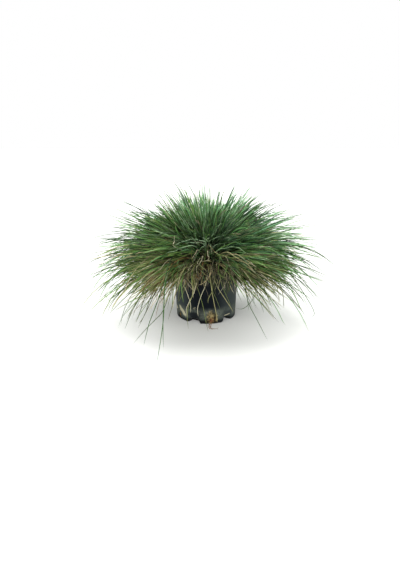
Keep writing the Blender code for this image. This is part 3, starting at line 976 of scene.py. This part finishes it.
def leaves(azimuth, half_sector, ring_place, shoots, ring_age, chance):
    """One tuft's leaves as a group of blades, shoot by shoot."""
    if ring_place > DROOPING_FROM:
        shoots = round(shoots * (1 + DROOPING_SHOOTS * drooping(azimuth)))
    shoot = np.repeat(np.arange(shoots), LEAVES_PER_SHOOT)
    shoot_place = ring_place + PLACE_SPREAD * chance.normal(0, 1, shoots)
    shoot_turn = azimuth + half_sector * chance.uniform(-1, 1, shoots)
    if ring_place == 0:
        shoot_place = chance.uniform(*HEART_PLACES, shoots)
        shoot_turn = chance.uniform(-math.pi, math.pi, shoots)
    place = np.clip(np.abs(shoot_place[shoot] + chance.normal(0, 0.012, len(shoot))), 0.005, 1.12)
    turn = shoot_turn[shoot] + chance.normal(0, 0.03, len(shoot))
    parting = hump(from_front_of(turn), *PARTING) * ramp(place, *PARTING_PLACES)
    kept = chance.random(len(shoot)) > PARTING_THINNING * parting
    shoot, place, turn, parting = shoot[kept], place[kept], turn[kept], parting[kept]
    count = len(shoot)
    outer = ramp(place, *OUTER_PLACES)
    factor = length_factors(place, chance) * (1 - DROOP_SHORTENING * drooping(turn) * outer)
    factor = np.where(parting > PARTED_FROM, np.minimum(factor, PARTING_REACH), factor)
    drooping_reach = LONG_FACTORS[1] + (DROOP_REACH - LONG_FACTORS[1]) * drooping(turn)
    factor = np.where(outer > 0.2, np.minimum(factor, drooping_reach), factor)
    stretch = 1 + FRONT_BACK_STRETCH * np.cos(turn) ** 2
    age = leaf_ages(turn, place, ring_age, chance)
    dry = np.clip((age - 0.5) * 3, 0, 1)
    bend = between(BEND_ANGLES, place) * factor * chance.uniform(*BEND_SPREAD, count) * (1 + 0.35 * dry)
    tilt = between(START_TILTS, place) + chance.normal(0, 8, shoots)[shoot] + chance.normal(0, 6, count)
    droop = np.where(from_front_of(turn) < 0, DROOP_LEFT, DROOP_RIGHT) * drooping(turn) * outer
    tilt = tilt + droop
    bend = bend * (1 - 0.35 * droop / DROOP_LEFT)
    wandering = chance.random(count) < WANDERING_SHARE
    aside = chance.normal(0, 0.16, shoots)[shoot] + chance.normal(0, 0.16 + 0.45 * wandering, count)
    heading = turn + np.clip(aside, -MOST_ASIDE, MOST_ASIDE)
    curl = np.clip(chance.normal(0, 13 + 20 * dry + 14 * wandering), -MOST_CURL, MOST_CURL)
    ripple = 2.0 + 6 * dry * chance.random(count)
    kink = dry * np.where(chance.random(count) < KINKED_SHARE, chance.normal(*KINK, count), 0)
    length = between(LEAF_LENGTHS, place) * factor * stretch
    foot = crown_spots(place, turn, LEAF_SUNK)
    lines = arching_lines(foot, heading, tilt, bend, length, curl, ripple, kink, chance, LEAF_STATIONS)
    tip = lines[:, -1]
    before_pot = (np.abs(tip[:, 0]) < RIM_RADIUS) & (tip[:, 1] < 0) & (tip[:, 2] < POT_HEIGHT / 2)
    lines = lines[:, :1] + (lines - lines[:, :1]) * np.where(before_pot, BEFORE_POT_LENGTH, 1)[:, None, None]
    thickness = chance.uniform(*LEAF_THICKNESS, count) * (1 - 0.2 * dry)
    thickness = thickness * np.where(factor > THICK_FACTOR, LONG_THICKENING, 1)
    tint = chance.random(shoots)[shoot] + chance.normal(0, 0.02, count)
    tint = np.where(chance.random(count) < OWN_TINT_SHARE, chance.random(count), tint % 1)
    spot = chance.random(shoots)[shoot]
    spot = np.where(chance.random(count) < OWN_SHADE_SHARE, chance.random(count), spot)
    return {"lines": settled(lines), "thickness": tapered(thickness, LEAF_STATIONS), "age": age, "tint": tint,
            "shaded": shading(turn, place, spot)}


# Under the outermost tufts the dead leaves of past years hang over the rim in a loose tangle.
TANGLE_PER_TUFT = 34
TANGLE_PLACES = (0.86, 1.12)
TANGLE_TILTS = (55, 95)
TANGLE_BENDS = (20, 110)
TANGLE_KINKED_SHARE = 0.5
TANGLE_KINK = (20, 36)
TANGLE_ALONG_FROM = 0.35
TANGLE_LENGTHS = (0.024, 0.082)
TANGLE_AGES = (0.30, 0.42, 0.58, 0.66, 0.80, 0.88, 1.0)
TANGLE_STATIONS = 12
TANGLE_THICKNESS = (0.0009, 0.0016)
TANGLE_SHADED_SHARE = 0.6
TANGLE_SHADED_DEPTH = 0.95


def tangle(azimuth, half_sector, chance):
    """Short, wavy, broken old leaves that fall over the rim at one skirt tuft."""
    count = TANGLE_PER_TUFT
    turn = azimuth + half_sector * 1.3 * chance.uniform(-1, 1, count)
    length = TANGLE_LENGTHS[0] + (TANGLE_LENGTHS[1] - TANGLE_LENGTHS[0]) * chance.random(count) ** 1.5
    lines = arching_lines(
        crown_spots(chance.uniform(*TANGLE_PLACES, count), turn, LEAF_SUNK),
        turn + chance.normal(0, 0.95, count),
        chance.uniform(*TANGLE_TILTS, count), chance.uniform(*TANGLE_BENDS, count), length,
        chance.normal(0, 60, count), chance.uniform(4, 22, count),
        np.where(chance.random(count) < TANGLE_KINKED_SHARE, chance.normal(*TANGLE_KINK, count), 0),
        chance, TANGLE_STATIONS,
    )
    thickness = chance.uniform(*TANGLE_THICKNESS, count)
    return {
        "lines": settled(lines), "thickness": tapered(thickness, TANGLE_STATIONS),
        "bare_from": TANGLE_ALONG_FROM,
        "age": between(TANGLE_AGES, chance.random(count)), "tint": chance.random(count),
        "shaded": np.where(chance.random(count) < TANGLE_SHADED_SHARE, TANGLE_SHADED_DEPTH, 0.0),
    }


# Some leaves stray out of their tufts: pale ones that cross the parting, dry ones that hang down the pot's
# face, and limp ones that trail to the floor. They are traced where the photograph shows them, as columns
# and rows of its pixels.
CAMERA_PLACE = (-0.0121, -1.0178, 0.3760)
CAMERA_PITCH = 17.18
FOCAL_PIXELS = 539
IMAGE_WIDTH = 400
IMAGE_HEIGHT = 570
STRAY_STATIONS = 22
STRAY_ALONG_FROM = 0.5

# The row that a leaf is first seen at tells its foot's place on the crown.
FOOT_ROWS = (236, 262)
FOOT_PLACES = (0.25, 0.95)

# Their looks: the tint, which says how waxy a leaf is, and how shaded it is.
PLAIN = (0.0, 0.0)
PALE = (0.57, 0.0)
DARK = (0.12, 0.88)
DULL = (0.068, 0.45)

# How far in front of the pot's middle the clump's front face is, by the row it is seen at. Below the rim a
# leaf hugs the pot's round wall.
FACE_ROWS = (212, 232, 245, 258, 268, 280, 300, 320, 325, 330, 334)
FACE_FORWARD = (0.045, 0.066, 0.073, 0.074, 0.075, 0.073, 0.071, 0.069, 0.072, 0.094, 0.113)
HUG_ROWS = (255, 278)
POT_COLUMN = 207
METRES_PER_PIXEL = 0.00187
FACE_THICKNESS = (0.0011, 0.0016)

# The leaves on the face: age, look, how far they lie before the face, and the pixels.
FACE_LEAVES = (
    (0.78, PLAIN, 0.007, ((200.5, 258), (196.6, 266), (197, 279), (194.2, 292), (188, 304.5), (186.3, 310),
        (187.4, 317.5))),
    (0.66, PLAIN, 0.005, ((184, 262), (184.2, 272.5), (188.9, 281), (191.6, 284.6), (194.2, 289.3))),
    (0.74, PLAIN, 0.004, ((186, 276), (184.2, 284), (187.9, 295.5), (190.5, 304), (190.5, 313.4))),
    (0.76, PALE, 0.005, ((207, 276), (205.2, 286), (201, 296), (197.8, 307), (197.6, 312), (198.4, 317))),
    (0.48, DULL, 0.003, ((196, 280), (199.4, 293.5), (202.6, 305), (205.7, 320.7), (206.7, 325.4),
        (208.3, 331.7))),
    (0.60, PALE, 0.006, ((208, 266), (210.9, 283.5), (212.5, 294.5), (215.1, 307.6), (217, 318), (217, 323))),
    (0.54, DULL, 0.004, ((212.5, 288), (209.9, 295.5), (208.3, 299), (208, 303.4))),
    (0.46, DULL, 0.003, ((211, 284), (213, 292), (216.2, 299), (220.4, 309.7))),
    (0.60, PALE, 0.008, ((212, 270), (216.2, 284.6), (223.5, 296.6), (230.8, 307.6), (232.9, 311.8))),
    (0.46, DULL, 0.005, ((219, 268), (220.9, 280.4), (223, 288), (228.7, 301), (230.8, 305.5))),
    (0.74, PLAIN, 0.006, ((225, 256), (229.8, 267), (231.9, 274.6), (234.5, 284), (235.5, 287.7))),
    (0.42, PALE, 0.010, ((219.8, 256), (219.3, 263), (218.3, 272.5), (223.5, 277.7), (230.3, 282.5),
        (232.9, 285.6))),
    (0.30, PALE, 0.012, ((218, 254), (223, 262), (227.7, 265.7), (226.1, 269.4), (223, 277.7), (217.7, 282))),
    (0.36, DULL, 0.004, ((206.5, 250), (205.7, 252.6), (204.6, 260.5), (204.1, 266))),
    (0.10, DULL, 0.003, ((200, 262), (202, 270), (204.1, 279.3), (205.7, 282))),
    (0.86, PLAIN, 0.008, ((211, 272), (208.3, 277.7), (205.7, 281), (202.6, 283.5), (198.9, 285))),
    (0.72, PLAIN, 0.008, ((203, 256), (201.5, 260), (199.4, 263.6), (197, 267))),
    (0.50, PALE, 0.008, ((192, 250), (192.1, 259.4), (194.7, 270), (193.1, 273), (188.9, 276))),
    (0.72, PLAIN, 0.010, ((190, 268), (185.3, 276), (180, 279), (175, 282.4))),
    (0.82, PLAIN, 0.009, ((193, 264), (187.9, 272.5), (185.3, 277), (181.5, 284))),
    (0.66, PALE, 0.006, ((194, 268), (193.7, 278), (192.6, 282.5), (190.5, 286))),
    (0.94, PLAIN, 0.006, ((203, 262), (200.5, 273.6), (197.3, 279.3))),
    (0.50, DULL, 0.002, ((181, 276), (180, 285.6), (179, 294.5), (177.9, 302.4))),
    (0.50, DULL, 0.003, ((186, 278), (184.2, 290), (181.1, 297), (178.5, 302.4))),
    (0.50, PLAIN, 0.008, ((194, 290), (188, 308), (187.4, 320), (188.4, 329.4))),
    (0.14, PALE, 0.010, ((206, 243), (199.6, 240.4), (193, 239), (182.4, 241.7), (176.7, 244.2),
        (173.5, 248))),
    (0.10, PALE, 0.006, ((203, 238), (208.6, 242.3), (210.5, 245.5), (211.1, 248.7), (211.8, 254.4))),
    (0.16, PALE, 0.014, ((194, 246), (181, 248), (174.8, 251.2), (167.8, 252.5), (163.3, 257))),
    (0.30, PLAIN, 0.013, ((194, 252), (181.8, 253.2), (176, 255.1), (169.7, 255.1), (157, 262))),
    (0.10, PALE, 0.008, ((205, 246), (199.6, 242.3), (195.8, 243), (189.4, 242.3), (185.6, 244.2))),
    (0.12, PALE, 0.012, ((209, 242), (213, 239), (218.8, 236.6), (227, 235), (236, 233))),
    (0.14, PALE, 0.008, ((214, 246), (222, 243.6), (224.5, 244.2), (223.2, 247.4))),
    (0.28, PLAIN, 0.010, ((219, 249), (225.2, 246), (229, 244.2), (235.4, 242.3), (243, 242))),
    (0.22, PALE, 0.017, ((218, 250), (225.8, 248), (232.2, 246.8), (239.2, 248), (244.3, 252),
        (252.6, 255.7))),
    (0.64, PALE, 0.026, ((226, 252), (235.4, 257), (239.8, 259.5), (246.2, 262), (252.6, 266), (258, 272))),
    (0.66, PLAIN, 0.028, ((234, 254), (246, 260), (254.3, 265.4), (265, 274.5), (277, 285))),
    (0.44, PLAIN, 0.018, ((220, 255), (232, 258), (238.7, 257.3), (246, 259))),
    (0.20, PALE, 0.006, ((203.5, 246.5), (198.4, 252), (194.5, 258.3), (192.6, 263.4))),
    (0.80, PLAIN, 0.008, ((198, 250), (195.5, 253.5), (193, 257), (191.5, 259.5))),
    (0.72, PLAIN, 0.005, ((207.5, 251), (207.9, 255.7), (209.2, 257.6), (206.7, 261))),
    (0.66, PALE, 0.006, ((208, 245), (214.9, 252), (218.8, 254.4), (220.1, 258.3))),
    (0.36, PLAIN, 0.015, ((180, 255), (165.2, 257), (160.7, 259.5), (152, 262))),
    (0.46, PLAIN, 0.016, ((192, 253.5), (180.5, 257.6), (171.6, 259.5), (162.7, 262), (149, 272))),
    (0.96, PLAIN, 0.024, ((184, 258), (171, 264.6), (164.6, 270.4), (158.8, 276))),
    (0.26, PALE, 0.024, ((182, 265), (168.4, 273), (162, 276.8), (155, 281), (149, 286))),
    (0.76, PLAIN, 0.012, ((175, 247), (174.5, 241), (174.1, 234.7))),
    (0.34, DULL, -0.016, ((197, 237), (185.6, 233.4), (176, 233.4), (169, 233), (163.9, 230.8))),
    (0.20, PLAIN, -0.008, ((198, 239), (192.6, 235.3), (189.4, 231.5), (187, 222))),
    (0.12, PALE, 0.002, ((205, 241), (202.2, 237.2), (198.4, 236), (192.6, 231.5), (187, 227))),
    (0.20, PLAIN, 0.0, ((206.3, 242), (206, 236), (206.7, 229.6), (207.5, 212))),
    (0.12, PALE, 0.004, ((206, 241), (211.1, 236.6), (216.2, 230.8), (220, 225.7), (232, 217))),
    (0.10, PLAIN, -0.006, ((222, 243), (233.4, 239), (237.3, 237.2), (242.4, 232), (256, 221))),
    (0.26, PLAIN, 0.006, ((190, 247), (171.6, 246), (165.2, 243.6), (160, 243.6), (149, 249))),
)

# The leaves that trail away: thickness, age, look, and the pixels, each with how far it is before the pot's
# middle.
TRAILING_LEAVES = (
    (0.0019, 0.20, DARK, ((178, 252, 0.05), (170, 262, 0.12), (166, 275, 0.165), (164.5, 294.6, 0.190),
        (163.6, 318, 0.205), (160.9, 339.3, 0.232), (156.4, 366, 0.262))),
    (0.0017, 0.16, DARK, ((180, 254, 0.05), (172, 266, 0.11), (166, 282, 0.15), (163.6, 308, 0.165),
        (163.1, 330.4, 0.18), (163.6, 349, 0.203))),
    (0.0018, 0.20, DARK, ((176, 256, 0.05), (168, 270, 0.10), (160, 295, 0.145), (152, 316, 0.16),
        (148.4, 326, 0.17), (143.5, 346.4, 0.19))),
    (0.0014, 0.40, DARK, ((180, 262, 0.05), (172, 285, 0.10), (163.6, 309.8, 0.13), (155, 320, 0.145),
        (144.8, 330.4, 0.155), (132.3, 344.6, 0.175))),
    (0.0016, 0.30, DARK, ((168, 262, 0.05), (152, 275, 0.09), (139.5, 298, 0.12), (131.4, 312.5, 0.13),
        (124.7, 329.5, 0.145))),
    (0.0017, 0.36, PALE, ((165, 266, 0.05), (150, 284, 0.085), (139.5, 296.4, 0.10), (127.9, 302.7, 0.11),
        (114.5, 310.7, 0.12))),
    (0.0016, 0.46, DARK, ((170, 268, 0.05), (155, 288, 0.09), (148, 305, 0.115), (145.7, 312.5, 0.12),
        (137.7, 328.6, 0.14))),
    (0.0016, 0.40, DARK, ((166, 270, 0.05), (150, 286, 0.08), (143.9, 300, 0.10), (140, 312, 0.11),
        (135.9, 323.2, 0.12))),
    (0.0016, 0.56, DARK, ((172, 272, 0.05), (157, 290, 0.09), (149, 306, 0.11), (143, 318, 0.12),
        (138.6, 324.1, 0.13))),
    (0.0014, 0.60, DARK, ((184, 268, 0.05), (179, 282, 0.08), (176.1, 293, 0.10), (172, 307, 0.11),
        (168, 320.5, 0.12))),
    (0.0014, 0.24, DARK, ((150, 262, 0.04), (130, 272, 0.06), (115, 283, 0.075), (104.2, 291.4, 0.085))),
    (0.0014, 0.30, DARK, ((152, 266, 0.04), (132, 280, 0.07), (118, 293, 0.085), (104.2, 302, 0.10))),
    (0.0016, 0.26, DARK, ((236, 262, 0.05), (243, 278, 0.08), (248.1, 302, 0.10), (257, 320, 0.125),
        (268, 341.2, 0.148))),
    (0.0016, 0.30, DARK, ((240, 262, 0.045), (250, 278, 0.07), (257.3, 294.4, 0.085), (264.2, 313.6, 0.10))),
    (0.0014, 0.36, DARK, ((238, 264, 0.05), (244, 280, 0.07), (246.6, 294.4, 0.08), (248.9, 311.3, 0.09))),
    (0.0014, 0.26, DARK, ((250, 262, 0.04), (260, 278, 0.06), (266.5, 294.4, 0.075), (271.9, 307.5, 0.085))),
    (0.0016, 0.20, DARK, ((262, 255, 0.03), (280, 265, 0.045), (291, 274.5, 0.055), (303, 292, 0.07),
        (314, 311.3, 0.085), (311.7, 318.2, 0.09))),
    (0.0016, 0.16, DARK, ((265, 250, 0.0), (289.5, 265.4, 0.01), (306, 284, 0.02), (323.2, 302.1, 0.03))),
    (0.0014, 0.20, DARK, ((250, 245, 0.0), (290, 262, 0.0), (310, 270, 0.01), (329.5, 280.3, 0.02))),
    (0.0014, 0.34, DARK, ((222, 255, 0.02), (240, 256, 0.035), (252, 268, 0.045), (255.5, 280, 0.05),
        (255.7, 289, 0.05), (254.4, 296, 0.052), (249.3, 303.9, 0.054), (242.3, 309, 0.055),
        (235.5, 308.3, 0.056))),
    (0.0021, 0.10, DARK, ((201, 225, -0.01), (196, 205, -0.02), (194.3, 193.4, -0.02), (184, 174.5, -0.03))),
)


def seen(column, row, forward):
    """The point that the camera sees at a pixel, a distance in front of the pot's middle."""
    across = (column - IMAGE_WIDTH / 2) / FOCAL_PIXELS
    up = (IMAGE_HEIGHT / 2 - row) / FOCAL_PIXELS
    pitch = math.radians(CAMERA_PITCH)
    ahead = math.cos(pitch) + up * math.sin(pitch)
    rise = up * math.cos(pitch) - math.sin(pitch)
    reach = (-forward - CAMERA_PLACE[1]) / ahead
    return (CAMERA_PLACE[0] + across * reach, -forward, CAMERA_PLACE[2] + rise * reach)


def smooth_line(points, stations):
    """A smooth line through points, at an even number of stations (Catmull-Rom)."""
    points = np.asarray(points, float)
    points = np.concatenate((2 * points[:1] - points[1:2], points, 2 * points[-1:] - points[-2:-1]))
    spots = np.linspace(0, len(points) - 3, stations + 1)
    low = np.minimum(spots.astype(int), len(points) - 4)
    share = (spots - low)[:, None]
    a, b, c, d = (points[low + step] for step in range(4))
    return 0.5 * (2 * b + (c - a) * share + (2 * a - 5 * b + 4 * c - d) * share ** 2
                  + (3 * b - a - 3 * c + d) * share ** 3)


def face_forward(column, row):
    """How far forward a leaf on the clump's face or on the pot's wall lies, at a pixel."""
    reach = np.interp(row, FACE_ROWS, FACE_FORWARD)
    aside = (column - POT_COLUMN) * METRES_PER_PIXEL * np.interp(row, HUG_ROWS, (0, 1))
    return math.sqrt(max(reach ** 2 - aside ** 2, reach ** 2 / 4))


def stray_leaves():
    """The traced leaves: for each its line from its foot on the crown, thickness, age, look and azimuth."""
    chance = np.random.default_rng(77)
    rows = []
    for age, look, lift, pixels in FACE_LEAVES:
        route = [seen(*pixel, face_forward(*pixel) + lift) for pixel in pixels]
        rows.append((chance.uniform(*FACE_THICKNESS), age, look, pixels[0][1], route))
    for thickness, age, look, places in TRAILING_LEAVES:
        rows.append((thickness, age, look, places[0][1], [seen(*place) for place in places]))
    for thickness, age, (tint, shaded), first_row, route in rows:
        azimuth = math.atan2(route[0][0], -route[0][1])
        foot = crown_spots(np.interp(first_row, FOOT_ROWS, FOOT_PLACES), azimuth, LEAF_SUNK)
        yield smooth_line([foot, *route], STRAY_STATIONS), thickness, age, tint, shaded, azimuth


strays = list(stray_leaves())


def strays_near(azimuth, half_sector):
    """The stray leaves that spring from one skirt tuft, as a group of blades."""
    own = [stray for stray in strays if abs(from_front_of(stray[-1] - azimuth)) <= half_sector]
    if not own:
        return []
    lines, thickness, age, tint, shaded, _ = (np.array(part) for part in zip(*own))
    return [{"lines": settled(lines), "thickness": tapered(thickness, STRAY_STATIONS),
             "bare_from": STRAY_ALONG_FROM, "age": age, "tint": tint, "shaded": shaded}]


for ring, (ring_name, ring_place, tuft_count, shoots, ring_age, bare_from) in enumerate(RINGS):
    sector = 2 * math.pi / tuft_count
    for number in range(tuft_count):
        node = ring_name if tuft_count == 1 else f"{ring_name}_{number + 1:02d}"
        chance = np.random.default_rng(1000 + 100 * ring + number)
        azimuth = (number + ring % 2 / 2) * sector
        groups = [leaves(azimuth, sector * SECTOR_SPREAD, ring_place, shoots, ring_age, chance)]
        groups[0]["bare_from"] = bare_from
        is_skirt = ring_name == "skirt_tuft"
        if is_skirt:
            groups.append(tangle(azimuth, sector / 2, chance))
            groups += strays_near(azimuth, sector / 2)
        finish, slot = (old_leaf, "old_leaf") if is_skirt else (fescue_leaf, "fescue_leaf")
        blade_piece(f"{node}_leaves", groups, finish, slot, node)


# Escaped roots: two old roots have found the front foot's drain slot. They creep out of it, down the foot
# and along the floor, and branch into hair-fine rootlets.

# For each root: its node, its thickness, and the points of its line, as how far each is out from the pot's
# middle towards the front foot, how far across and how high.
ROOTS = (
    ("long_root", 0.0013, (
        (0.0576, 0.0000, 0.0092), (0.0591, -0.0004, 0.0084), (0.0604, -0.0010, 0.0056),
        (0.0620, -0.0020, 0.0016), (0.0670, -0.0040, 0.0009), (0.0740, -0.0056, 0.0009),
        (0.0800, -0.0048, 0.0009), (0.0826, -0.0004, 0.0009), (0.0818, 0.0044, 0.0009),
        (0.0790, 0.0086, 0.0009),
    )),
    ("short_root", 0.0011, (
        (0.0576, -0.0024, 0.0068), (0.0591, -0.0026, 0.0060), (0.0602, -0.0032, 0.0034),
        (0.0624, -0.0050, 0.0009), (0.0700, -0.0084, 0.0008), (0.0776, -0.0094, 0.0008),
        (0.0802, -0.0078, 0.0008),
    )),
)
ROOT_STATIONS = 26
ROOTLETS = 7
ROOTLET_STATIONS = 6
ROOTLET_THICKNESS = 0.00045
ROOTLET_TILTS = (80, 96)
ROOTLET_BENDS = (0, 12)
ROOTLET_LENGTHS = (0.0030, 0.0080)
ROOTLET_CLEARANCE = 0.0004

root_skin, shader, shade = new_material("root", {"Specular IOR Level": 0.35})
place = shade.place()
bark = shade.grain(place, 700, 4, 0.6)
colour = shade.layered(srgb(92, 58, 36), (bark.ease(0.35, 0.65), srgb(158, 116, 74)))
drive(shader, {"Base Color": colour, "Roughness": 0.7 + bark * 0.25, "Bump": (bark, 0.0002)})

for number, (node, thickness, route) in enumerate(ROOTS):
    chance = np.random.default_rng(40 + number)
    line = smooth_line([(across, -out, height) for out, across, height in route], ROOT_STATIONS)
    cosine, sine = math.cos(FRONT_FOOT_AZIMUTH), math.sin(FRONT_FOOT_AZIMUTH)
    across, back, height = line.T
    line = np.stack((across * cosine - back * sine, across * sine + back * cosine, height), axis=-1)
    knobs = 1 + 0.22 * chance.normal(0, 1, ROOT_STATIONS + 1)
    width = thickness * np.clip(knobs, 0.6, 1.4) * np.linspace(1, 0.35, ROOT_STATIONS + 1)
    starts = chance.integers(8, ROOT_STATIONS - 2, ROOTLETS)
    heading = chance.uniform(-1.2, 1.4, ROOTLETS)
    tilt = chance.uniform(*ROOTLET_TILTS, ROOTLETS)
    bend = chance.uniform(*ROOTLET_BENDS, ROOTLETS)
    length = chance.uniform(*ROOTLET_LENGTHS, ROOTLETS)
    curl = chance.normal(0, 60, ROOTLETS)
    ripple = chance.uniform(4, 16, ROOTLETS)
    rootlets = arching_lines(
        line[starts], heading, tilt, bend, length, curl, ripple, np.zeros(ROOTLETS), chance, ROOTLET_STATIONS
    )
    rootlets[..., 2] = np.maximum(rootlets[..., 2], ROOTLET_CLEARANCE)
    blade_piece(f"{node}_wisp", [
        {"lines": line[None], "thickness": width[None], "age": np.ones(1), "tint": np.ones(1) * 0.5},
        {"lines": rootlets, "thickness": tapered(np.full(ROOTLETS, ROOTLET_THICKNESS), ROOTLET_STATIONS),
         "age": np.ones(ROOTLETS), "tint": np.linspace(0, 1, ROOTLETS)},
    ], root_skin, "root", node, sides=6)


# Studio: a pale floor under a wide soft light, as for a catalogue picture on white. The floor glows with
# painted light: dim near the pot, as a painted shadow stretched to front and back, and white far off.
# The camera stands a good metre away and looks down a little, with the pot where the photograph has it.

SENSOR = 36.0
FLOOR_SIZE = 12.0
# The painted shadow in the floor's glow: the share of the forward distance that counts, so that it stretches
# to front and back, and the reach over which it brightens.
PAINTED_SHADOW_FORWARD_SHARE = 0.46
PAINTED_SHADOW_REACH = (0.02, 0.16)
WHITE_REACH = (0.3, 2.0)
LIT_SPOT = (0.0, 0.0, 0.12)

shape = bmesh.new()
bmesh.ops.create_grid(shape, x_segments=4, y_segments=4, size=FLOOR_SIZE / 2)
floor_mesh = bpy.data.meshes.new("studio_floor")
shape.to_mesh(floor_mesh)
shape.free()
glow_floor, shader, shade = new_material("glowing_floor", {"Specular IOR Level": 0.1, "Emission Strength": 1.0})
place = shade.place()
tooth = shade.grain(place, 300, 3, 0.5)
squeezed = shade.node(
    "ShaderNodeVectorMath", {"operation": "MULTIPLY"}, {0: place, 1: (1.0, PAINTED_SHADOW_FORWARD_SHARE, 1.0)}
)
reach = shade.node("ShaderNodeVectorMath", {"operation": "LENGTH"}, {0: squeezed}, "Value")
drive(shader, {
    "Base Color": shade.layered(srgb(182, 183, 180), (tooth, srgb(187, 188, 185))),
    "Roughness": 0.8 + tooth * 0.1,
    # Painted light and shadow: the floor glows, dim around the pot and white far off.
    "Emission Color": shade.layered(
        (0.17, 0.17, 0.165),
        (reach.ease(*PAINTED_SHADOW_REACH), (0.44, 0.444, 0.433)),
        (reach.ease(*WHITE_REACH), (1.0, 1.0, 1.0)),
    ),
})
floor_mesh.materials.append(glow_floor)
placed("studio_floor", floor_mesh)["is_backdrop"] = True

world = bpy.data.worlds.new("studio_light")
bpy.context.scene.world = world
world.use_nodes = True
shade = Shade(world.node_tree)
direction = shade.node("ShaderNodeTexCoord", {}, {}, "Generated")
colour = shade.layered((1.0, 1.0, 1.0), (direction.part("Z").ease(0.20, 0.40), (0.50, 0.50, 0.50)))
world.node_tree.links.new(colour.socket, world.node_tree.nodes["Background"].inputs["Color"])


def soft_light(name, place, size, power):
    """A square soft box at a place, facing the middle of the pot."""
    lamp = bpy.data.lights.new(name, "AREA")
    lamp.shape = "SQUARE"
    lamp.size = size
    lamp.energy = power
    box = placed(name, lamp)
    box.location = place
    box.rotation_euler = (Vector(LIT_SPOT) - Vector(place)).to_track_quat("-Z", "Y").to_euler()


soft_light("top_box", place=(-0.4, 2.6, 5.6), size=3.0, power=520)
soft_light("front_box", place=(-1.0, -4.6, 3.6), size=4.0, power=270)

lens = bpy.data.cameras.new("camera")
lens.sensor_width = SENSOR
lens.lens = SENSOR * FOCAL_PIXELS / IMAGE_HEIGHT
camera = placed("camera", lens)
camera.location = CAMERA_PLACE
camera.rotation_euler = (math.radians(90 - CAMERA_PITCH), 0, 0)
bpy.context.scene.camera = camera
bpy.context.scene.view_settings.view_transform = "Standard"

boxes = {"cad": cad_box, "visual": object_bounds()}
{name: [[float(value) for value in corner] for corner in box] for name, box in boxes.items()}
